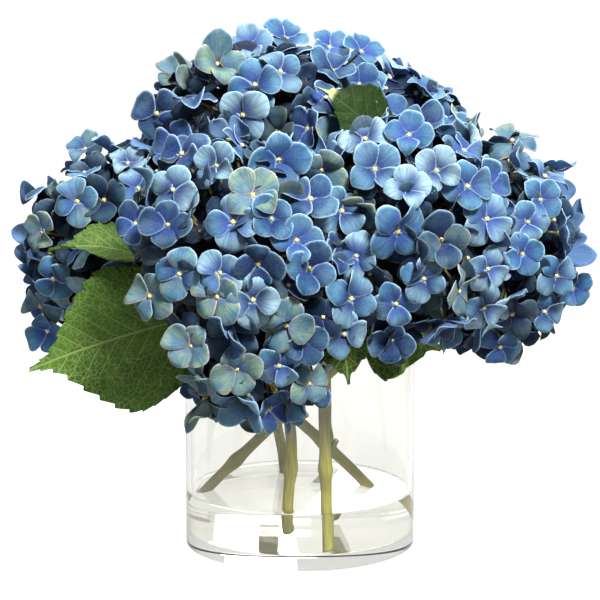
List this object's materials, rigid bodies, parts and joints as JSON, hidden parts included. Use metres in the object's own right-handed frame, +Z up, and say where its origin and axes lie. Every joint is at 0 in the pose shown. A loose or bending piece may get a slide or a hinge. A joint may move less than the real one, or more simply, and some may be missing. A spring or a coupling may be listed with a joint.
{
  "type": "hydrangea bouquet in a glass vase",
  "caption": "Full low bouquet of blue mophead hydrangeas and toothed leaves on cut stems in a clear straight-sided glass cylinder vase, part filled with clear water.",
  "frame": {"origin": "centre of the vase's underside, on its axis", "axes": "+Z up along the vase's axis, -Y towards the bouquet's front, +X to its right seen from the front"},
  "size_m": [0.3224, 0.2833, 0.2867],
  "materials": {
    "glass": "gloss",
    "water": "gloss",
    "stem": "satin",
    "leaf": "satin",
    "petal": "matte"
  },
  "bodies": {
    "root": {"vase": "glass", "water": "water", "stem_right": "stem", "stem_left": "stem", "stem_top": "stem", "stem_back": "stem", "stem_front": "stem", "stem_middle": "stem", "leaf_lower_left": "leaf", "leaf_upper_left": "leaf", "leaf_top": "leaf", "leaf_lower_right": "leaf", "leaf_lower_front": "leaf", "leaf_back_left": "leaf", "leaf_back_right": "leaf", "bloom_front": "petal", "bloom_middle": "petal", "bloom_right": "petal", "bloom_top": "petal", "bloom_back": "petal", "bloom_left": "petal"}
  },
  "joints": []
}
